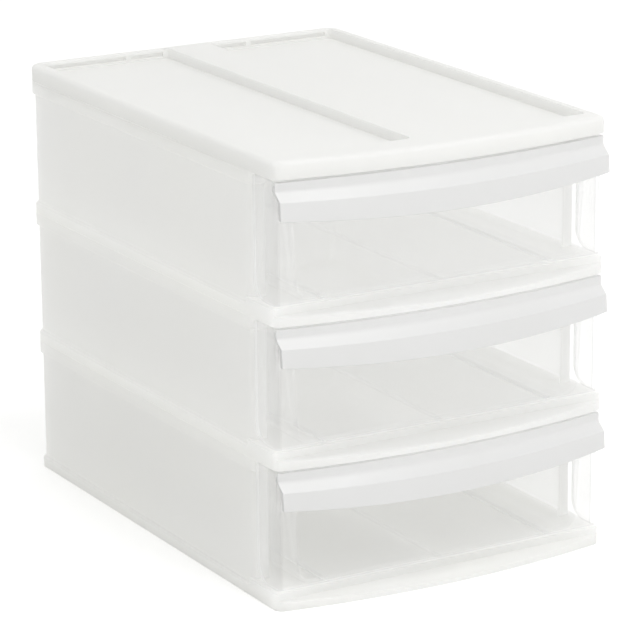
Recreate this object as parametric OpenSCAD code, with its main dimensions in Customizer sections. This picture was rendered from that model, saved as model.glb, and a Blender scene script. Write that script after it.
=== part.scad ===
// Stackable drawer box: three identical tiers, each an open-topped frame
// with one drawer, closed by a top board. Lengths are in millimetres.
// X runs across the front, Y to the back, Z up from the base plane, and the
// front of the unit, bowed in plan, looks along -Y.

/* [Stack] */
// Height of one tier, from base plane to base plane
tier_pitch = 72; // [66:1:90]
// Width over the bands of a frame
case_w = 190; // [170:1:230]
// Depth from the plane of the drawer fronts to the back
case_d = 265; // [240:1:310]
// Height of the top board over the last tier
board_h = 8.8; // [8:0.1:11]

/* [Plan outline] */
// How far the middle of the front edge bows out past its ends
bow_rise = 9.5; // [6:0.5:12]
// How far the ends of the bowed edge lead the drawer fronts
bow_lead = 1.5; // [1:0.1:2.5]
// Radius of the two back corners
back_corner_r = 8; // [7:0.5:11]
// Radius of the two front corners
front_corner_r = 5; // [4:0.5:7]

/* [Frame] */
// Wall of the frames and the top board
wall_t = 1.8; // [1.5:0.1:2.1]
// How far the bands stand proud of the side walls
band_proud = 1.5; // [1.1:0.1:2]
// Height of the shoulder band under the next tier
shoulder_h = 6.5; // [4:0.5:9]
// Height of the stacking tongue that enters the next tier
tongue_h = 3.5; // [2.5:0.1:4.5]
// Thickness of the stacking tongue
tongue_t = 1.6; // [1.2:0.1:1.7]
// Clearance on each side of the tongue
tongue_gap = 0.4; // [0.3:0.1:0.5]
// Thickness of the web that carries a wall on its skirt
web_t = 1.5; // [1.2:0.1:2]
// Thickness of the frame floor
floor_t = 2.2; // [1.8:0.1:2.6]
// Where the side walls end behind the drawer fronts
wall_front = 21; // [18:0.5:26]
// Radius in plan of the wall's front end
wall_end_r = 6; // [5.5:0.5:7]
// Width of the flange that closes the gap beside the drawer
flange_w = 7.5; // [7.5:0.1:9]
// Thickness of the bowed sill at its front edge
sill_edge = 2.4; // [2.2:0.1:2.8]
// Height of the sill's slope where it meets the upright face
sill_slope_top = 5.3; // [4.6:0.1:5.8]

/* [Top board] */
// Width of the raised border round the board
border_w = 6; // [6:0.1:8]
// Depth of the two recessed pans
pan_depth = 5.3; // [4:0.1:5.6]
// Where the pans start behind the plane of the drawer fronts
pan_front = 8; // [5:0.5:14]
// Width of the raised rib between the pans
rib_w = 26; // [18:1:36]
// Corner radius of the pans
pan_r = 3; // [2:0.5:4]
// Radius of the board's upper edge
board_edge_r = 2.5; // [1.5:0.1:3]
// Height of the long slots in the back border
slot_h = 2.1; // [1.6:0.1:2.4]
// Width of the posts between the slots
slot_post = 3; // [2:0.5:5]

/* [Drawer] */
// Wall of the drawer front and tub
drawer_t = 2; // [1.6:0.1:2.2]
// How far the front's wings stand inside the bands
wing_inset = 1.2; // [0.8:0.1:1.8]
// Depth of the wings
wing_d = 20.5; // [16:0.5:20.5]
// Radius of the wing's lower rear corner
wing_r = 10; // [6:0.5:13]
// Radius of the upright front corners
front_edge_r = 3; // [2.4:0.1:4]
// Gap between the drawer front and the tier above
top_gap = 1.3; // [0.8:0.1:2]
// Gap between the drawer front and the sill
sill_gap = 0.8; // [0.5:0.1:1.2]
// Gap under the drawer's runners
runner_gap = 0.3; // [0.2:0.05:0.4]
// Height of the runners under the tub
runner_h = 0.8; // [0.5:0.1:1.2]
// Distance between the two outer runners, with a third in the middle
runner_span = 130; // [100:1:140]
// Clearance between the tub and the frame flange
side_gap = 0.8; // [0.6:0.1:1.2]
// How much narrower the tub is at its floor, each side
tub_draft = 3; // [1:0.5:5]
// Radius along the tub's lower edges
tub_r = 8; // [5:0.5:11]
// How far the tub's rim lies under the tier above
tub_drop = 8; // [6:0.5:12]
// Room behind the tub when the drawer is shut
back_gap = 6; // [4:0.5:12]
// Travel of the drawer to its stop
travel = 200; // [150:1:200]
// How far the stop ears overlap the frame flange
stop_grip = 3; // [2:0.1:3]

/* [Handle] */
// How far the handle's foot leads the drawer front at its ends
handle_reach = 6.5; // [5:0.1:9]
// Height of the handle's ogee, from the drawer's top to the sharp ridge
ogee_h = 12; // [10:0.1:14]
// Height of the upright part over the ogee
ogee_top = 3.6; // [2:0.1:5]
// How far the handle's face leans out below the ridge
face_rake = 1; // [0:0.1:1.5]
// Lowest point of the handle below the drawer's top, in the middle
handle_h = 21.7; // [19:0.1:25]
// How much the handle's lower edge rises at its ends
handle_lift = 4; // [2:0.1:5]

/* [Hidden] */
$fn = 64;
bow_fn = 720;          // finer circles for the wide front bow
over = 1;              // how far cutters run past what they cut

half_w = case_w / 2;
// The front edge is one arc, carried by this centre and radius
bow_r = (half_w * half_w + bow_rise * bow_rise) / (2 * bow_rise);
bow_y = bow_r - bow_lead - bow_rise;
// Centre of the front corners, which touch the side and the bow
front_c = [half_w - front_corner_r,
           bow_y - sqrt(pow(bow_r - front_corner_r, 2) - pow(half_w - front_corner_r, 2))];
corner_proud = 0.05;                              // of the corners over the bow
bow_half_angle = asin((half_w - front_corner_r) / (bow_r - front_corner_r));

// Heights in one tier, over its own base plane
tongue_head = 0.5;                                // room over the tongue
web_z = tongue_h + tongue_head;
skirt_h = web_z + web_t;
skirt_chamfer = 0.5;
floor_rise = 1.3;                                 // of the floor over the skirt
floor_z = skirt_h + floor_rise;                   // underside of the floor
floor_top = floor_z + floor_t;
wall_in = band_proud + wall_t;                    // inner face of the walls
tongue_out = wall_t + tongue_gap;
tongue_in = tongue_out + tongue_t;
tongue_lead = 0.6;                                // chamfer that finds its way in

// Edges of the frame's opening
flange_x = half_w - band_proud - flange_w;
flange_back = wall_front + band_proud + wall_t;

// The top board
edge_steps = 6;                                   // slices in its rounding
slot_split = 0.3;                                 // where the post parts the slots
slot_past = 0.5;                                  // how far slots pass the pan's wall

// The drawer
wing_x = half_w - wing_inset;
front_top = tier_pitch - top_gap;
front_bottom = floor_top + sill_gap;
tub_top = tier_pitch - tub_drop;
tub_bottom = floor_top + runner_gap + runner_h;
tub_hw = flange_x - side_gap;                     // half width at the rim
tub_back = case_d - wall_in - back_gap;
runner_w = 3;
stop_slack = 0.5;                                 // left at the end of the travel
stop_y = flange_back + travel + stop_slack;       // front of the stop ears
ear_h = 8;
ear_t = 4;
handle_bottom = front_top - handle_h;
handle_wall = drawer_t * 1.1;
end_rise = 1;                                     // of the closed ends over the edge
ogee_start = 0.6;                                 // lead of the ogee's upper end
ogee_hollow = 0.35;                               // share that is a soft hollow
ogee_turn = 0.12;                                 // share that turns at the ridge
ogee_run = 1 / (1 - (ogee_hollow + ogee_turn) / 2);

// Height of the whole unit, and where its middle lies along Y
reach = handle_reach + bow_rise;                  // furthest point of a handle
middle_y = (case_d - reach) / 2;

// --- Outline helpers -------------------------------------------------------

// Rounded rectangle with its own radii at the front and the back
module plan_rect(x0, y0, x1, y1, rf, rb) {
    translate([x0, y0 + rf]) square([x1 - x0, y1 - y0 - rf - rb]);
    translate([x0 + rf, y0]) square([x1 - x0 - 2 * rf, rf + over]);
    translate([x0 + rb, y1 - rb - over]) square([x1 - x0 - 2 * rb, rb + over]);
    for (x = [x0 + rf, x1 - rf]) translate([x, y0 + rf]) circle(rf);
    for (x = [x0 + rb, x1 - rb]) translate([x, y1 - rb]) circle(rb);
}

// Filled plan of a tier, drawn in by inset on every side. The front corners
// stand a hair proud of the bow, so the two arcs cross at a definite point.
module plan(inset = 0) {
    hw = half_w - inset;
    rb = back_corner_r - inset;
    back_y = case_d - back_corner_r;
    corner_y = front_c[1] - corner_proud;
    join_x = front_c[0] * (bow_r - inset) / (bow_r - front_corner_r);
    translate([-hw, corner_y]) square([2 * hw, back_y - corner_y]);
    translate([rb - hw, back_y - over]) square([2 * (hw - rb), rb + over]);
    for (s = [-1, 1]) {
        translate([s * front_c[0], corner_y]) circle(front_corner_r - inset);
        translate([s * (half_w - back_corner_r), back_y]) circle(rb);
    }
    intersection() {
        translate([0, bow_y]) circle(bow_r - inset, $fn = bow_fn);
        translate([-join_x, -bow_r]) square([2 * join_x, bow_r + corner_y + over]);
    }
}

// Carries a profile straight up the right side, from y0 to y1. In every
// profile X is the way out of the plan outline and Y is the height.
module along_side(y0, y1)
    translate([half_w, y1, 0]) rotate([90, 0, 0]) linear_extrude(y1 - y0) children();

// Turns a profile through a corner of radius r about centre c
module round_corner(c, r, from, to)
    translate([c[0], c[1], 0]) rotate([0, 0, from])
        rotate_extrude(angle = to - from) translate([r, 0]) children();

// Carries a profile along both sides and the back
module along_back_and_sides(y0) {
    back_c = [half_w - back_corner_r, case_d - back_corner_r];
    for (m = [0, 1]) mirror([m, 0, 0]) {
        along_side(y0, back_c[1]) children();
        round_corner(back_c, back_corner_r, 0, 90) children();
    }
    translate([-back_c[0], case_d, 0]) rotate([90, 0, 90])
        linear_extrude(2 * back_c[0]) children();
}

// --- Frame -----------------------------------------------------------------

// Section of the side walls: plain wall, then the shoulder band
module wall_section()
    polygon([[-wall_in, web_z], [-band_proud, web_z],
             [-band_proud, tier_pitch - shoulder_h - band_proud / 2],
             [0, tier_pitch - shoulder_h],
             [0, tier_pitch], [-tongue_in, tier_pitch],
             [-tongue_in, tier_pitch - shoulder_h],
             [-wall_in, tier_pitch - shoulder_h - band_proud]]);

module tongue_section()
    polygon([[-tongue_in, tier_pitch - web_t], [-tongue_out, tier_pitch - web_t],
             [-tongue_out, tier_pitch + tongue_h - tongue_lead],
             [-tongue_out - tongue_lead, tier_pitch + tongue_h],
             [-tongue_in, tier_pitch + tongue_h]]);

// Skirt that stands on the tier below, with the web that carries the wall
module skirt_section()
    polygon([[0, 0], [0, skirt_h - skirt_chamfer], [-skirt_chamfer, skirt_h],
             [-wall_in, floor_z + over],
             [-wall_in, web_z], [-wall_t, web_z], [-wall_t, 0]]);

// The walls turn in at the front and end in a flange beside the drawer
module walls() {
    end_c = [half_w - wall_end_r, wall_front + wall_end_r];
    along_back_and_sides(end_c[1]) wall_section();
    along_back_and_sides(end_c[1]) tongue_section();
    for (m = [0, 1]) mirror([m, 0, 0]) {
        round_corner(end_c, wall_end_r, -90, 0) wall_section();
        translate([end_c[0], wall_front, 0]) rotate([90, 0, -90])
            linear_extrude(end_c[0] - flange_x) wall_section();
    }
}

// Height profile of the sill along Y, as a cutter for all that lies over it
module sill_slope_cut()
    polygon([[0, floor_top + over], [0, sill_slope_top],
             [-bow_lead - bow_rise, sill_edge], [-bow_r, sill_edge],
             [-bow_r, floor_top + over]]);

// Hollow under the sill and the floor, as it runs along Y
module under_floor_cut(y_end)
    polygon([[-bow_lead - bow_rise, -over], [-bow_lead - bow_rise, sill_edge - wall_t],
             [wall_t, sill_slope_top - wall_t], [wall_t, floor_z],
             [y_end, floor_z], [y_end, -over]]);

// Front end of the frame: bowed sill, its upright face and the floor's start
module sill() {
    y_end = wall_front + wall_end_r;
    difference() {
        intersection() {
            linear_extrude(floor_top) plan();
            translate([-case_w, -bow_r, 0]) cube([2 * case_w, bow_r + y_end, tier_pitch]);
        }
        translate([-case_w, 0, 0]) rotate([90, 0, 90]) linear_extrude(2 * case_w) sill_slope_cut();
        intersection() {
            translate([0, 0, -over]) linear_extrude(tier_pitch) plan(wall_t);
            translate([-case_w, 0, 0]) rotate([90, 0, 90])
                linear_extrude(2 * case_w) under_floor_cut(y_end + over);
        }
    }
}

module frame() {
    wall_mid = band_proud + wall_t / 2;
    along_back_and_sides(wall_front + wall_end_r) skirt_section();
    walls();
    sill();
    translate([0, 0, floor_z]) linear_extrude(floor_t)
        plan_rect(-half_w + wall_mid, wall_front + wall_mid, half_w - wall_mid,
                  case_d - wall_mid, wall_end_r - wall_mid, back_corner_r - wall_mid);
    // Web under the walls' turned-in front ends
    for (m = [0, 1]) mirror([m, 0, 0])
        translate([flange_x, wall_front + band_proud, floor_z])
            cube([half_w - wall_end_r - flange_x, wall_t, floor_t]);
}

// --- Top board -------------------------------------------------------------

// One pan, right of the rib, grown by a wall on every side
module pan(grow, z0, z1)
    translate([0, 0, z0]) linear_extrude(z1 - z0)
        plan_rect(rib_w / 2 - grow, pan_front - grow, half_w - border_w + grow,
                  case_d - border_w + grow, pan_r + grow, pan_r + grow);

// The board's outer form: slices of the plan, drawn in as they rise so that
// the upper edge is rounded all the way round
module rounded_slab()
    hull()
        for (i = [0 : edge_steps])
            let (turn = 90 * i / edge_steps)
                linear_extrude(board_h - board_edge_r * (1 - sin(turn)), $fn = 48)
                    plan(board_edge_r * (1 - cos(turn)));

// Long slots through the pan's back wall, on either side of a post
module back_slots() {
    x0 = rib_w / 2 + pan_r;
    x1 = half_w - border_w - pan_r;
    post_x = x0 + (x1 - x0) * slot_split;
    z0 = board_h - wall_t - slot_h;
    for (span = [[x0, post_x - slot_post / 2], [post_x + slot_post / 2, x1]])
        translate([span[0], case_d - border_w - over, z0])
            cube([span[1] - span[0], wall_t + over + slot_past, slot_h]);
}

module board() {
    pan_floor = board_h - pan_depth;
    difference() {
        union() {
            difference() {
                rounded_slab();
                translate([0, 0, -over]) linear_extrude(board_h - wall_t + over) plan(wall_t);
            }
            for (m = [0, 1]) mirror([m, 0, 0]) pan(wall_t, pan_floor - wall_t, board_h - wall_t / 2);
        }
        for (m = [0, 1]) mirror([m, 0, 0]) {
            pan(0, pan_floor, board_h + over);
            back_slots();
        }
    }
}

// --- Drawer ----------------------------------------------------------------

// Rise of the ogee from 0 to 1: a soft hollow, a straight run, a tight turn
function ogee_rise(t) =
    t < ogee_hollow ? ogee_run * t * t / (2 * ogee_hollow)
    : t < 1 - ogee_turn ? ogee_run * (t - ogee_hollow / 2)
    : 1 - ogee_run * (1 - t) * (1 - t) / (2 * ogee_turn);

// Outer side of the handle from the drawer's top down, as [lead, height]
function ogee(hollow_steps = 7, turn_steps = 3) =
    let (shares = concat([for (i = [0 : hollow_steps]) ogee_hollow * i / hollow_steps],
                         [for (i = [0 : turn_steps]) 1 - ogee_turn * (1 - i / turn_steps)]),
         rise = handle_reach - face_rake - ogee_start)
    concat([[ogee_start, front_top]],
           [for (t = shares) [ogee_start + rise * ogee_rise(t),
                              front_top - ogee_top - (ogee_h - ogee_top) * t]],
           [[handle_reach, handle_bottom]]);

// Section of the handle, drawn in by inset, with X the lead over the front
module handle_section(inset, z_top, z_low)
    intersection() {
        polygon(concat([[-reach, front_top]],
                       [for (p = ogee()) [p[0] - inset, p[1]]],
                       [[handle_reach - inset, handle_bottom - over],
                        [-reach, handle_bottom - over]]));
        translate([-case_w, z_low]) square([2 * case_w, z_top - z_low]);
    }

// Carries a handle section along the bow, as far as x on either side
module along_handle(x)
    intersection() {
        translate([0, bow_y, 0]) rotate([0, 0, -90 - 2 * bow_half_angle])
            rotate_extrude(angle = 4 * bow_half_angle, $fn = bow_fn)
                translate([bow_r - bow_lead, 0]) children();
        translate([-x, -bow_r, 0]) cube([2 * x, bow_r + drawer_t / 2, tier_pitch]);
    }

// The lower edge of the handle is an arc that dips in the middle
module handle_edge() {
    r = (wing_x * wing_x + handle_lift * handle_lift) / (2 * handle_lift);
    translate([0, drawer_t, handle_bottom + r]) rotate([90, 0, 0])
        cylinder(r = r, h = case_d, $fn = bow_fn);
}

// Foot of the handle's two closed ends, which runs back to the front
module handle_end_cut()
    polygon([[-reach - over, handle_bottom - over],
             [-reach, handle_bottom + handle_lift + 2 * end_rise],
             [-handle_reach, handle_bottom + handle_lift + end_rise],
             [0, handle_bottom], [over, handle_bottom - over]]);

module handle() {
    intersection() {
        handle_edge();
        difference() {
            along_handle(wing_x) handle_section(0, front_top, handle_bottom);
            along_handle(wing_x - drawer_t)
                handle_section(handle_wall, front_top - drawer_t, handle_bottom - over);
        }
    }
    // Closed ends
    for (m = [0, 1]) mirror([m, 0, 0])
        difference() {
            intersection() {
                along_handle(wing_x) handle_section(0, front_top, handle_bottom);
                translate([wing_x - drawer_t, -bow_r, 0]) cube([drawer_t, 2 * bow_r, tier_pitch]);
            }
            rotate([90, 0, 90]) linear_extrude(case_w) handle_end_cut();
        }
}

// Plan of the front panel and its wings
module front_plan()
    difference() {
        plan_rect(-wing_x, 0, wing_x, wing_d + front_edge_r, front_edge_r, front_edge_r);
        plan_rect(-wing_x + wall_t, drawer_t, wing_x - wall_t, wing_d + 2 * front_edge_r,
                  front_edge_r - wall_t, front_edge_r - wall_t);
        translate([-case_w, wing_d]) square([2 * case_w, case_d]);
    }

// Front panel with its wings, rounded off at their lower rear corners
module front() {
    difference() {
        translate([0, 0, front_bottom]) linear_extrude(front_top - front_bottom) front_plan();
        translate([-case_w, 0, 0]) rotate([90, 0, 90]) linear_extrude(2 * case_w)
            difference() {
                translate([wing_d - wing_r, front_bottom - over]) square(wing_r + over);
                translate([wing_d - wing_r, front_bottom + wing_r]) circle(wing_r);
            }
    }
}

// Tub section between its rim and floor, drawn in by inset: drafted sides
// and a round lower edge that touches both side and floor
module tub_section(inset, top) {
    h = tub_top - tub_bottom;
    slope = atan(tub_draft / h);
    r = tub_r - inset;
    cx = tub_hw - tub_draft + tub_r * tan(slope) - tub_r / cos(slope);
    cz = tub_bottom + tub_r;
    arc = [for (i = [0 : 10]) let (a = -90 + (90 - slope) * i / 10)
           [cx + r * cos(a), cz + r * sin(a)]];
    edge = [cx + r * cos(slope) + (top - cz + r * sin(slope)) * tan(slope), top];
    right = concat(arc, [edge]);
    left = [for (i = [len(right) - 1 : -1 : 0]) [-right[i][0], right[i][1]]];
    polygon(concat(right, left));
}

module tub() {
    difference() {
        translate([0, tub_back, 0]) rotate([90, 0, 0])
            linear_extrude(tub_back - drawer_t / 2) tub_section(0, tub_top);
        translate([0, tub_back - drawer_t, 0]) rotate([90, 0, 0])
            linear_extrude(tub_back - 2 * drawer_t) tub_section(drawer_t, tub_top + over);
    }
    // Runners under the floor
    for (s = [-1, 0, 1])
        translate([(s * runner_span - runner_w) / 2, drawer_t, tub_bottom - runner_h])
            cube([runner_w, tub_back - 2 * drawer_t, runner_h + drawer_t / 2]);
    // Stop ears, which meet the frame flange at full travel
    for (m = [0, 1]) mirror([m, 0, 0])
        translate([tub_hw - drawer_t, stop_y, tub_top - ear_h])
            cube([flange_x + stop_grip - tub_hw + drawer_t, ear_t, ear_h]);
}

module drawer() {
    front();
    handle();
    tub();
}

// --- Placing ---------------------------------------------------------------

module tier(k) translate([0, -middle_y, k * tier_pitch]) children();

module lower_frame() color([0.86, 0.87, 0.86]) tier(0) frame();
module middle_frame() color([0.88, 0.89, 0.88]) tier(1) frame();
module upper_frame() color([0.90, 0.90, 0.89]) tier(2) frame();
module top_board() color([0.94, 0.94, 0.93]) tier(3) board();
module lower_drawer() color([0.93, 0.95, 0.96]) tier(0) drawer();
module middle_drawer() color([0.93, 0.95, 0.96]) tier(1) drawer();
module upper_drawer() color([0.93, 0.95, 0.96]) tier(2) drawer();

lower_frame();
middle_frame();
upper_frame();
top_board();
lower_drawer();
middle_drawer();
upper_drawer();
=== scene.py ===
"""Stackable drawer box: three milky frames, three clear drawers and a top board, on a white sweep."""

import bmesh
import bpy
import numpy as np
from mathutils import Matrix, Vector


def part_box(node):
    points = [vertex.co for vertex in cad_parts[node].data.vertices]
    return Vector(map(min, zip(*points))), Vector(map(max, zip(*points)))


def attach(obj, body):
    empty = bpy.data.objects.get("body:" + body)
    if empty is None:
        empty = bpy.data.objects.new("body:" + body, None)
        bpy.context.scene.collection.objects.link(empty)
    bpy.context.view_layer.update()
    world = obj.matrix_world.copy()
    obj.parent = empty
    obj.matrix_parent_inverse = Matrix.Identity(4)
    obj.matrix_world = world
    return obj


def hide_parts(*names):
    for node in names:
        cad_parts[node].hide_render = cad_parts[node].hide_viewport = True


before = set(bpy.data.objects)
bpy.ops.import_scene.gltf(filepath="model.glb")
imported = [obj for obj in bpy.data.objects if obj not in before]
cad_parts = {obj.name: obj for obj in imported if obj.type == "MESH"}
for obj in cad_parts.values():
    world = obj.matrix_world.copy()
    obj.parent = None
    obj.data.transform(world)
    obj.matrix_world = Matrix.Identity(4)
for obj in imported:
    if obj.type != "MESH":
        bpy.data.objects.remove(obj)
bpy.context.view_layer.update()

MM = 0.001
TIERS = ("lower", "middle", "upper")

# --- Sizes, in millimetres, in the frame of one tier ------------------------
# x runs across, y back from the plane of the drawer fronts, z up from the tier's base.
# Depth of a frame, and the bow that sill, grip and board share
CASE_D = 265.0
BOW_RISE = 9.5
BOW_LEAD = 1.5

# Clear front with its wings
DRAWER_T = 2.0
WING_T = 1.8
WING_D = 20.5
WING_R = 10.0
FRONT_EDGE_R = 3.0
FRONT_BOTTOM = 9.8

# Grip, with its heights measured down from the drawer's top
HANDLE_REACH = 6.5
OGEE_START = 0.6
OGEE_TOP = 3.6
OGEE_HOLLOW = 0.35
OGEE_TURN = 0.12
RIDGE_H = 10.8
RIDGE_LIFT = 1.8
FACE_RAKE = 1.0
HANDLE_H = 21.7
HANDLE_LIFT = 4.0
HANDLE_WALL = 2.2
ROOF_MIN = 0.05
END_FOOT = 1.0

# Tub, runners and stop ears
TUB_HALF_W = 85.2
TUB_DRAFT = 3.0
TUB_R = 8.0
TUB_TOP = 64.0
TUB_BOTTOM = 10.1
TUB_BACK = 255.7
TUB_SEAM = 0.5
RUNNER_SPAN = 130.0
RUNNER_W = 3.0
RUNNER_H = 0.8
EAR_Y = 224.8
EAR_T = 4.0
EAR_H = 8.0
EAR_X = 89.0

# Shells of one piece run into each other or stand apart a little, so that no two faces share a plane
LAP = 0.2
DEEP_LAP = 0.3
TUB_GAP = 0.02
END_GAP = 0.03

# Rounding of the moulded edges
EDGE_BEVEL = 0.3
BROAD_BEVEL = 0.35
BEVEL_STEPS = 2
SHARP_ANGLE = np.radians(32)

# How finely the shapes are drawn
BOW_SECTIONS = 57
HOLLOW_POINTS = 10
TURN_POINTS = 5
WING_ARC_POINTS = 11
FRONT_EDGE_POINTS = 9
TUB_ARC_POINTS = 14
TUB_SECTIONS = 8

# What the frame itself says
frame_low, frame_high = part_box("lower_frame")
drawer_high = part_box("lower_drawer")[1]
HALF_W = frame_high.x / MM
FRONT_Y = frame_high.y / MM - CASE_D
PITCH = (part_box("middle_frame")[0].z - frame_low.z) / MM
FRONT_TOP = drawer_high.z / MM
WING_X = drawer_high.x / MM
BOW_R = (HALF_W**2 + BOW_RISE**2) / (2 * BOW_RISE)
BOW_Y = BOW_R - BOW_LEAD - BOW_RISE


# --- Mesh helpers -----------------------------------------------------------
MERGE_DISTANCE = 1e-7
CAD_MERGE_DISTANCE = 2e-6
FLAT_ANGLE = np.radians(0.4)


def lofted(rings, painted_light_from=None):
    """Vertices, faces and material index of a tube: quads join point j of ring i to ring i + 1, and
    each end ring is one face. The index is 0, or 1 for the quads from point painted_light_from on and, where
    painted_light_from is given, for the two ends."""
    count, size = rings.shape[:2]
    i, j = np.meshgrid(np.arange(count - 1), np.arange(size), indexing="ij")
    k = (j + 1) % size
    quads = np.stack([i * size + j, i * size + k, (i + 1) * size + k, (i + 1) * size + j], axis=-1)
    faces = quads.reshape(-1, 4).tolist()
    faces.append(list(range(size))[::-1])
    faces.append(list(range((count - 1) * size, count * size)))
    # Index 1 marks the faces that take the polystyrene with painted light
    first_painted_light = size if painted_light_from is None else painted_light_from
    painted_light_mask = np.append((j >= first_painted_light).ravel(), [first_painted_light < size] * 2)
    return rings.reshape(-1, 3), faces, painted_light_mask.astype(int)


def section_at(x, loop):
    """A ring of (x, y, z) from the (y, z) points of loop, all at the same x."""
    return np.column_stack([np.full(len(loop), x), loop])


def placed(points, tier):
    """Tier millimetres to metres in the object's frame: y moves by FRONT_Y and z by tier times PITCH."""
    return (points + np.array([0.0, FRONT_Y, tier * PITCH])) * MM


def piece(name, shells, tier, materials, body, replaces, bevel):
    """One object from lofted shells, with outward faces, a small bevel on sharp edges and smooth curves."""
    verts, faces, kinds = [], [], []
    start = 0
    for shell_verts, shell_faces, shell_kinds in shells:
        verts.append(placed(shell_verts, tier))
        faces += [[start + v for v in face] for face in shell_faces]
        kinds.append(shell_kinds)
        start += len(shell_verts)
    mesh = bpy.data.meshes.new(name)
    mesh.from_pydata(np.concatenate(verts).tolist(), [], faces)
    for material in materials:
        mesh.materials.append(material)
    mesh.polygons.foreach_set("material_index", np.concatenate(kinds))
    bm = bmesh.new()
    bm.from_mesh(mesh)
    bmesh.ops.remove_doubles(bm, verts=bm.verts, dist=MERGE_DISTANCE)
    bmesh.ops.recalc_face_normals(bm, faces=bm.faces)
    bm.to_mesh(mesh)
    bm.free()
    return finished(name, mesh, body, replaces, bevel)


def finished(name, mesh, body, replaces, bevel):
    """Gives a mesh its object, bevel and smooth shading, and sets it on its body."""
    mesh.shade_smooth()
    mesh.set_sharp_from_angle(angle=SHARP_ANGLE)
    obj = bpy.data.objects.new(name, mesh)
    bpy.context.scene.collection.objects.link(obj)
    edge = obj.modifiers.new("moulded edge", "BEVEL")
    edge.width = bevel * MM
    edge.segments = BEVEL_STEPS
    edge.limit_method = "ANGLE"
    edge.angle_limit = SHARP_ANGLE
    edge.use_clamp_overlap = False
    edge.harden_normals = True
    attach(obj, body)
    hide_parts(replaces)
    return obj


def merged_copy(node, name, material, bevel):
    """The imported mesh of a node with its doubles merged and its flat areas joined, so that its edges
    can round."""
    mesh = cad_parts[node].data.copy()
    mesh.name = name
    bm = bmesh.new()
    bm.from_mesh(mesh)
    bmesh.ops.remove_doubles(bm, verts=bm.verts, dist=CAD_MERGE_DISTANCE)
    bmesh.ops.dissolve_limit(bm, angle_limit=FLAT_ANGLE, verts=bm.verts, edges=bm.edges)
    bm.to_mesh(mesh)
    bm.free()
    mesh.materials.clear()
    mesh.materials.append(material)
    return finished(name, mesh, node, node, bevel)


# --- Materials --------------------------------------------------------------
POLYPROPYLENE_IOR = 1.49
POLYSTYRENE_IOR = 1.59
HAZE_DETAIL = 3.0
GRAIN_DETAIL = 2.0


def linear(code):
    """sRGB hex to linear: c/12.92 below 0.04045, else ((c+0.055)/1.055)^2.4."""
    c = np.array([int(code[i : i + 2], 16) for i in (1, 3, 5)]) / 255
    return (*np.where(c <= 0.04045, c / 12.92, ((c + 0.055) / 1.055) ** 2.4), 1.0)


def add(tree, kind, inputs=(), **settings):
    """Adds a node, sets its properties, and fills its inputs with values or links."""
    node = tree.nodes.new(kind)
    for key, value in settings.items():
        setattr(node, key, value)
    for key, value in dict(inputs).items():
        if isinstance(value, bpy.types.NodeSocket):
            tree.links.new(value, node.inputs[key])
        else:
            node.inputs[key].default_value = value
    return node


def new_material(name):
    """An empty node material, its tree and its output node."""
    material = bpy.data.materials.new(name)
    material.use_nodes = True
    material.node_tree.nodes.clear()
    return material, material.node_tree, add(material.node_tree, "ShaderNodeOutputMaterial")


def moulded_plastic(name, pale, deep, roughness, ior, haze_mm, grain_mm, grain_depth, glow, clear):
    """Injection-moulded plastic: a soft haze in the body of the plastic, which also takes the roughness
    15% down and up, and a fine grain from the mould. Of the solid share, glow is what comes through
    scattered. clear is the share of the surface that is seen through, and it mirrors by Schlick's rule:
    F0 + (1 - F0) (1 - cos)^5, with F0 = ((ior - 1) / (ior + 1))^2."""
    material, tree, out = new_material(name)
    place = add(tree, "ShaderNodeTexCoord").outputs["Object"]
    haze = add(tree, "ShaderNodeTexNoise", {
        "Vector": place, "Scale": 1 / (haze_mm * MM), "Detail": HAZE_DETAIL})
    tint = add(tree, "ShaderNodeMix", {
        0: haze.outputs["Fac"], 6: linear(pale), 7: linear(deep)}, data_type="RGBA")
    grain = add(tree, "ShaderNodeTexNoise", {
        "Vector": place, "Scale": 1 / (grain_mm * MM), "Detail": GRAIN_DETAIL})
    matt = add(tree, "ShaderNodeMapRange", {
        "Value": haze.outputs["Fac"], "To Min": roughness * 0.85, "To Max": roughness * 1.15})
    bump = add(tree, "ShaderNodeBump", {
        "Height": grain.outputs["Fac"], "Strength": 1.0, "Distance": grain_depth * MM})
    body = add(tree, "ShaderNodeBsdfPrincipled", {
        "Base Color": tint.outputs[2], "Roughness": matt.outputs["Result"],
        "Normal": bump.outputs["Normal"], "IOR": ior})
    scattered = add(tree, "ShaderNodeBsdfTranslucent", {
        "Color": tint.outputs[2], "Normal": bump.outputs["Normal"]})
    solid = add(tree, "ShaderNodeMixShader", {0: glow, 1: body.outputs[0], 2: scattered.outputs[0]})
    facing = add(tree, "ShaderNodeLayerWeight", {"Blend": 0.5, "Normal": bump.outputs["Normal"]})
    grazing = add(tree, "ShaderNodeMath", {0: facing.outputs["Facing"], 1: 5.0}, operation="POWER")
    f0 = ((ior - 1) / (ior + 1)) ** 2
    mirror = add(tree, "ShaderNodeMapRange", {
        "Value": grazing.outputs[0], "To Min": f0, "To Max": 1.0})
    passed = add(tree, "ShaderNodeBsdfTransparent", {"Color": linear(pale)})
    gloss = add(tree, "ShaderNodeBsdfGlossy", {
        "Color": linear(pale), "Roughness": matt.outputs["Result"], "Normal": bump.outputs["Normal"]})
    window = add(tree, "ShaderNodeMixShader", {
        0: mirror.outputs[0], 1: passed.outputs[0], 2: gloss.outputs[0]})
    shader = add(tree, "ShaderNodeMixShader", {0: clear, 1: solid.outputs[0], 2: window.outputs[0]})
    tree.links.new(shader.outputs[0], out.inputs["Surface"])
    return material


# Natural polypropylene, injection moulded: milky, half matt, lets soft light through its thin walls
milky_polypropylene = moulded_plastic(
    "milky_polypropylene", "#FFFFFF", "#FFFFFE", 0.42, POLYPROPYLENE_IOR,
    haze_mm=60, grain_mm=0.9, grain_depth=0.004, glow=0.85, clear=0.12)
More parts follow.
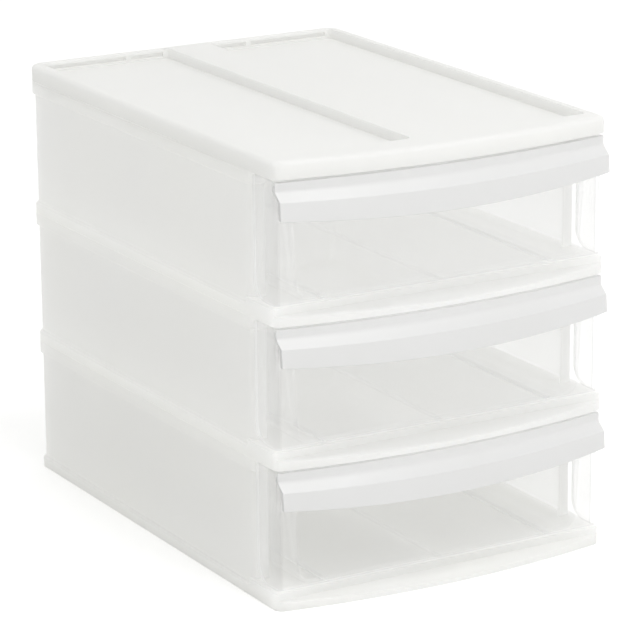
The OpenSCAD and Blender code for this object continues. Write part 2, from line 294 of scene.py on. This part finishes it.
# The same in the top board, which lies flat: less light comes through it, and its greyer colour is painted
# shade that keeps its lit rim and front from coming out white
thick_polypropylene_painted_shade = moulded_plastic(
    "thick_polypropylene_painted_shade", "#F9F9F8", "#F7F7F6", 0.42, POLYPROPYLENE_IOR,
    haze_mm=60, grain_mm=0.9, grain_depth=0.004, glow=0.55, clear=0.05)
# General purpose polystyrene, injection moulded in a polished tool: water clear with a faint haze
clear_polystyrene = moulded_plastic(
    "clear_polystyrene", "#FEFEFE", "#FDFDFD", 0.06, POLYSTYRENE_IOR,
    haze_mm=45, grain_mm=2.5, grain_depth=0.002, glow=0.5, clear=0.96)
# The same at the wings, in a greyer colour: painted shade for the grey that the eye sees where it looks
# along the sheet
wing_polystyrene_painted_shade = moulded_plastic(
    "wing_polystyrene_painted_shade", "#FAFAFA", "#F8F8F8", 0.06, POLYSTYRENE_IOR,
    haze_mm=45, grain_mm=2.5, grain_depth=0.002, glow=0.5, clear=0.93)
# Painted light: a whiter, hazier copy of the polystyrene for the rims of the clear drawer, where the light
# that runs inside the sheet comes out, and for the grip's roof and ends and the two outer runners, where it
# lifts their shade; they look white
polystyrene_painted_light = moulded_plastic(
    "polystyrene_painted_light", "#FEFEFE", "#FCFCFC", 0.30, POLYSTYRENE_IOR,
    haze_mm=45, grain_mm=1.5, grain_depth=0.002, glow=0.6, clear=0.25)
# The same polystyrene where the tool is spark eroded: the grip is frosted and looks white, and its grey
# colour is painted shade for the dim hollow behind its face
frosted_polystyrene_painted_shade = moulded_plastic(
    "frosted_polystyrene_painted_shade", "#E2E2E2", "#DFDFDE", 0.38, POLYSTYRENE_IOR,
    haze_mm=40, grain_mm=0.7, grain_depth=0.006, glow=0.15, clear=0.04)


# --- Drawer -----------------------------------------------------------------
def ogee(ridge_h):
    """Depth under the drawer's top and lead of the grip's outer side down to its ridge, ridge_h below
    the top: upright to OGEE_TOP, then a rise of parabola, straight run and parabola. With t from 0 to 1,
    hollow a and turn b, the rise is k t^2 / (2 a) in the hollow, k (t - a / 2) in the run and
    1 - k (1 - t)^2 / (2 b) in the turn."""
    k = 1 / (1 - (OGEE_HOLLOW + OGEE_TURN) / 2)
    t = np.concatenate([
        np.linspace(0, OGEE_HOLLOW, HOLLOW_POINTS), np.linspace(1 - OGEE_TURN, 1, TURN_POINTS)])
    rise = np.select(
        [t < OGEE_HOLLOW, t < 1 - OGEE_TURN],
        [k * t**2 / (2 * OGEE_HOLLOW), k * (t - OGEE_HOLLOW / 2)],
        1 - k * (1 - t) ** 2 / (2 * OGEE_TURN))
    ridge = HANDLE_REACH - FACE_RAKE
    depth = np.concatenate([[0.0], OGEE_TOP + (ridge_h - OGEE_TOP) * t])
    return depth, np.concatenate([[OGEE_START], OGEE_START + (ridge - OGEE_START) * rise])


def bow_at(x, lead):
    """y of the bow moved out by lead: BOW_Y - sqrt((BOW_R - BOW_LEAD + lead)^2 - x^2)."""
    return BOW_Y - np.sqrt((BOW_R - BOW_LEAD + lead) ** 2 - x**2)


def arc_rise(x, lift):
    """Height at x of an arc that is 0 in the middle and lift at the wings: r - sqrt(r^2 - x^2)."""
    r = (WING_X**2 + lift**2) / (2 * lift)
    return r - np.sqrt(r**2 - x**2)


def handle_sides(x):
    """Outer and inner side of the grip's wall at x, top to bottom, each as (y, z). Below the ridge a
    straight face leans out by FACE_RAKE to the foot. Ridge and foot are arcs that rise to the ends."""
    ridge_h = RIDGE_H - arc_rise(x, RIDGE_LIFT)
    foot = HANDLE_H - arc_rise(x, HANDLE_LIFT)
    depth, lead = ogee(ridge_h)
    lean = (foot - ridge_h) / (HANDLE_H - RIDGE_H)
    depth, lead = np.append(depth, foot), np.append(lead, lead[-1] + FACE_RAKE * lean)
    outer = np.stack([bow_at(x, lead), FRONT_TOP - depth], -1)
    under = np.maximum(depth, DRAWER_T)
    inner_y = bow_at(x, np.interp(under, depth, lead) - HANDLE_WALL)
    return outer, np.stack([inner_y, FRONT_TOP - under], -1)


def handle_shell():
    """The frosted grip: its wall and its roof, as one section carried along the bow from end to end. The
    roof and the two ends have material index 1, the polystyrene with painted light that lifts their shade."""
    rear = DRAWER_T / 2
    rings = []
    for x in np.linspace(-WING_X, WING_X, BOW_SECTIONS):
        outer, inner = handle_sides(x)
        inner[:, 0] = np.minimum(inner[:, 0], rear - ROOF_MIN)
        roof = [[rear, FRONT_TOP - DRAWER_T], [rear, FRONT_TOP]]
        loop = np.concatenate([outer, inner[::-1], roof])
        rings.append(section_at(x, loop))
    return lofted(np.array(rings), painted_light_from=len(loop) - 3)


def handle_end(side):
    """Clear plate that closes one end of the hollow grip, with a foot that runs back down to the front."""
    rings = []
    for x in (side * (WING_X - DRAWER_T), side * (WING_X - END_GAP)):
        inner = handle_sides(x)[1]
        inner[:, 0] -= LAP
        foot = [[inner[-1, 0], inner[-1, 1] + END_FOOT], [0.0, FRONT_TOP - HANDLE_H],
                [DEEP_LAP, FRONT_TOP - HANDLE_H], [DEEP_LAP, FRONT_TOP - DRAWER_T + LAP]]
        rings.append(section_at(x, np.concatenate([inner[:-1] + [0, LAP], foot])))
    return lofted(np.array(rings))


def front_shell():
    """Front panel with its wings: a wall from zb(y) to FRONT_TOP along a U in plan. The wing's lower rear
    corner is an arc: y = WING_D - WING_R (1 - sin a), zb = FRONT_BOTTOM + WING_R (1 - cos a). The lower
    rim has material index 1, the polystyrene with painted light, the wings have 2, the polystyrene with
    painted shade, and the flat panel 0."""
    a = np.radians(np.linspace(90, 0, WING_ARC_POINTS))
    wing_y = WING_D - WING_R * (1 - np.sin(a))
    wing_zb = FRONT_BOTTOM + WING_R * (1 - np.cos(a))
    b = np.radians(np.linspace(0, 90, FRONT_EDGE_POINTS))
    centre_x = WING_X - FRONT_EDGE_R
    wing_line = np.full(WING_ARC_POINTS, WING_X)
    out_x = np.concatenate([wing_line, centre_x + FRONT_EDGE_R * np.cos(b)])
    out_y = np.concatenate([wing_y, FRONT_EDGE_R - FRONT_EDGE_R * np.sin(b)])
    in_x = np.concatenate([wing_line - WING_T, centre_x + (FRONT_EDGE_R - WING_T) * np.cos(b)])
    in_y = np.concatenate([wing_y, FRONT_EDGE_R - (FRONT_EDGE_R - DRAWER_T) * np.sin(b)])
    low = np.concatenate([wing_zb, np.full(FRONT_EDGE_POINTS, FRONT_BOTTOM)])
    top = np.full_like(low, FRONT_TOP)
    right = np.stack([
        np.stack([out_x, out_y, low], -1), np.stack([out_x, out_y, top], -1),
        np.stack([in_x, in_y, top], -1), np.stack([in_x, in_y, low], -1)], axis=1)
    left = right[::-1] * np.array([-1, 1, 1])
    verts, faces, kinds = lofted(np.concatenate([right, left]), painted_light_from=3)
    spans = kinds[:-2].reshape(-1, 4)
    flat_panel = len(spans) // 2
    # The wings take material 2, the polystyrene with painted shade
    spans[np.arange(len(spans)) != flat_panel, :3] = 2
    return verts, faces, kinds


def tub_half(inset, top):
    """Right half of the tub's section: floor, an arc of TUB_R that touches floor and side, drafted side."""
    slope = np.arctan(TUB_DRAFT / (TUB_TOP - TUB_BOTTOM))
    r = TUB_R - inset
    cx = TUB_HALF_W - TUB_DRAFT + TUB_R * np.tan(slope) - TUB_R / np.cos(slope)
    cz = TUB_BOTTOM + TUB_R
    a = np.linspace(-np.pi / 2, -slope, TUB_ARC_POINTS)
    rim_x = cx + r * np.cos(slope) + (top - cz + r * np.sin(slope)) * np.tan(slope)
    return np.append(cx + r * np.cos(a), rim_x), np.append(cz + r * np.sin(a), top)


def tub_ring(y, filled):
    """The tub's section at y: the outer U, then the inner U back, or a flat top where it is filled."""
    x, z = tub_half(0, TUB_TOP)
    outer = np.concatenate([np.stack([-x[::-1], z[::-1]], -1), np.stack([x, z], -1)])
    xi, zi = tub_half(DRAWER_T, TUB_TOP)
    if filled:
        xi, zi = np.linspace(TUB_SEAM, x[-1] - DRAWER_T, len(xi)), np.full(len(zi), TUB_TOP)
    inner = np.concatenate([np.stack([xi[::-1], zi[::-1]], -1), np.stack([-xi, zi], -1)])
    loop = np.concatenate([outer, inner])
    return np.stack([loop[:, 0], np.full(len(loop), y), loop[:, 1]], -1)


def bar_shell(x0, x1, y0, y1, z0, z1, painted_light_from=None):
    """A straight bar: one rectangular section at y0 and one at y1."""
    section = [(x0, z0), (x1, z0), (x1, z1), (x0, z1)]
    return lofted(np.array([[(x, y, z) for x, z in section] for y in (y0, y1)]), painted_light_from)


def tub_shells():
    """The tub, its three runners and its two stop ears. The outer runners have material index 1, the
    polystyrene with painted light that lifts their shade where they sit on the frame's floor.
    """
    inner_back = TUB_BACK - DRAWER_T
    rings = [tub_ring(y, False) for y in np.linspace(DRAWER_T + TUB_GAP, inner_back, TUB_SECTIONS)]
    rings += [tub_ring(y, True) for y in (inner_back, TUB_BACK)]
    shells = [lofted(np.array(rings))]
    for middle in (-RUNNER_SPAN / 2, 0, RUNNER_SPAN / 2):
        shells.append(bar_shell(
            middle - RUNNER_W / 2, middle + RUNNER_W / 2, DRAWER_T, inner_back,
            TUB_BOTTOM - RUNNER_H, TUB_BOTTOM + DEEP_LAP, painted_light_from=0 if middle else None))
    for side in (-1, 1):
        ear = sorted((side * (TUB_HALF_W - DRAWER_T / 2), side * EAR_X))
        shells.append(bar_shell(*ear, EAR_Y, EAR_Y + EAR_T, TUB_TOP - EAR_H, TUB_TOP))
    return shells


for tier, level in enumerate(TIERS):
    drawer = f"{level}_drawer"
    piece(f"{level}_drawer_front", [front_shell(), handle_end(-1), handle_end(1)], tier,
          (clear_polystyrene, polystyrene_painted_light, wing_polystyrene_painted_shade),
          drawer, drawer, EDGE_BEVEL)
    piece(f"{level}_drawer_handle", [handle_shell()], tier,
          (frosted_polystyrene_painted_shade, polystyrene_painted_light),
          drawer, drawer, BROAD_BEVEL)
    piece(f"{level}_drawer_tub", tub_shells(), tier,
          (clear_polystyrene, polystyrene_painted_light),
          drawer, drawer, EDGE_BEVEL)

# --- Frames and top board ---------------------------------------------------
for level in TIERS:
    merged_copy(
        f"{level}_frame", f"{level}_frame_shell", milky_polypropylene, EDGE_BEVEL)
# The top board takes the polypropylene with painted shade
merged_copy("top_board", "top_board_shell", thick_polypropylene_painted_shade, BROAD_BEVEL)

# --- Camera -----------------------------------------------------------------
# Fitted to seven corners of the box, for a square picture PHOTO_PX wide; the place is in metres
FOCAL_PX = 3383.4
PHOTO_PX = 640
SENSOR_MM = 36.0
VIEW_END = 20
CAMERA_AT = Vector((-0.8500, -1.4682, 0.5968))
YAW, PITCH_DOWN, ROLL = np.radians((30.161, 16.244, -0.411))

camera_data = bpy.data.cameras.new("camera")
camera_data.sensor_width = SENSOR_MM
camera_data.lens = FOCAL_PX / PHOTO_PX * camera_data.sensor_width
camera_data.clip_end = VIEW_END
camera = bpy.data.objects.new("camera", camera_data)
bpy.context.scene.collection.objects.link(camera)
camera.matrix_world = (Matrix.Translation(CAMERA_AT) @ Matrix.Rotation(-YAW, 4, "Z")
                       @ Matrix.Rotation(np.pi / 2 - PITCH_DOWN, 4, "X") @ Matrix.Rotation(ROLL, 4, "Z"))
bpy.context.scene.camera = camera


# --- Studio -----------------------------------------------------------------
def seen_directly(tree):
    """1 for camera and glossy rays and for rays through clear plastic, so that they all meet the white
    background, and 0 for scattered light: max(camera, glossy, transmission - diffuse)."""
    path = add(tree, "ShaderNodeLightPath")
    through = add(tree, "ShaderNodeMath", {
        0: path.outputs["Is Transmission Ray"], 1: path.outputs["Is Diffuse Ray"]}, operation="SUBTRACT")
    two = add(tree, "ShaderNodeMath", {
        0: path.outputs["Is Camera Ray"], 1: path.outputs["Is Glossy Ray"]}, operation="MAXIMUM")
    seen = add(tree, "ShaderNodeMath", {0: two.outputs[0], 1: through.outputs[0]}, operation="MAXIMUM")
    return seen.outputs[0]


def soft_lamp(name, place, target, size, watts):
    """A square area lamp at place that faces target."""
    data = bpy.data.lights.new(name, "AREA")
    data.size = size
    data.energy = watts
    lamp = bpy.data.objects.new(name, data)
    aim = (Vector(target) - Vector(place)).to_track_quat("-Z", "Y")
    lamp.matrix_world = Matrix.Translation(place) @ aim.to_matrix().to_4x4()
    bpy.context.scene.collection.objects.link(lamp)


# The room is brightest overhead: strength = mean + swing * (direction . towards)
DOME_MEAN, DOME_SWING = 0.83, 0.08
DOME_TOWARDS = Vector((0.12, 0.0, 1.0)).normalized()
world = bpy.data.worlds.new("white studio")
bpy.context.scene.world = world
world.use_nodes = True
tree = world.node_tree
tree.nodes.clear()
toward = add(tree, "ShaderNodeVectorMath", {
    0: add(tree, "ShaderNodeTexCoord").outputs["Generated"], 1: DOME_TOWARDS}, operation="DOT_PRODUCT")
soft = add(tree, "ShaderNodeMapRange", {
    "Value": toward.outputs["Value"], "From Min": -1.0, "To Min": DOME_MEAN - DOME_SWING,
    "To Max": DOME_MEAN + DOME_SWING})
strength = add(tree, "ShaderNodeMapRange", {
    "Value": seen_directly(tree), "To Min": soft.outputs["Result"], "To Max": 1.0})
dome = add(tree, "ShaderNodeBackground", {
    "Color": (1, 1, 1, 1), "Strength": strength.outputs["Result"]})
tree.links.new(dome.outputs[0], add(tree, "ShaderNodeOutputWorld").inputs["Surface"])

# White paper sweep: a matt floor with a grain of 2.5 mm. FLOOR_LIFT is the light that it adds where it
# is seen directly, so that the paper round the shadow comes out white. Sizes are in metres.
FLOOR_HALF = 3.0
FLOOR_LIFT = 0.20
PAPER_GRAIN = 0.0025
PAPER_DEPTH = 0.0001
floor_material, tree, out = new_material("white_paper_sweep")
paper = add(tree, "ShaderNodeTexNoise", {
    "Vector": add(tree, "ShaderNodeTexCoord").outputs["Object"], "Scale": 1 / PAPER_GRAIN})
paper_bump = add(tree, "ShaderNodeBump", {"Height": paper.outputs["Fac"], "Distance": PAPER_DEPTH})
matt_paper = add(tree, "ShaderNodeBsdfDiffuse", {
    "Color": linear("#F5F5F4"), "Normal": paper_bump.outputs[0]})
lift = add(tree, "ShaderNodeMath", {0: seen_directly(tree), 1: FLOOR_LIFT}, operation="MULTIPLY")
glow = add(tree, "ShaderNodeEmission", {"Color": (1, 1, 1, 1), "Strength": lift.outputs[0]})
both = add(tree, "ShaderNodeAddShader", {0: matt_paper.outputs[0], 1: glow.outputs[0]})
tree.links.new(both.outputs[0], out.inputs["Surface"])
floor_mesh = bpy.data.meshes.new("floor")
corners = np.array([(-1, -1, 0), (1, -1, 0), (1, 1, 0), (-1, 1, 0)]) * FLOOR_HALF
floor_mesh.from_pydata(corners.tolist(), [], [(0, 1, 2, 3)])
floor_mesh.materials.append(floor_material)
floor = bpy.data.objects.new("floor", floor_mesh)
bpy.context.scene.collection.objects.link(floor)

# Place and target in metres, then the lamp's side in metres and its power in watts
soft_lamp("key_softbox", (0.2, -0.8, 1.7), (0, 0, 0.1), 0.8, 10.0)
soft_lamp("front_softbox", (0.1, -1.8, 0.6), (0, 0, 0.1), 1.0, 3.0)

# Light crosses many thin milky walls before it is spent
paths = bpy.context.scene.cycles
paths.max_bounces = paths.transmission_bounces = 48
paths.transparent_max_bounces = 24
paths.diffuse_bounces = 32
paths.glossy_bounces = 8

bpy.context.scene.view_settings.view_transform = "Standard"
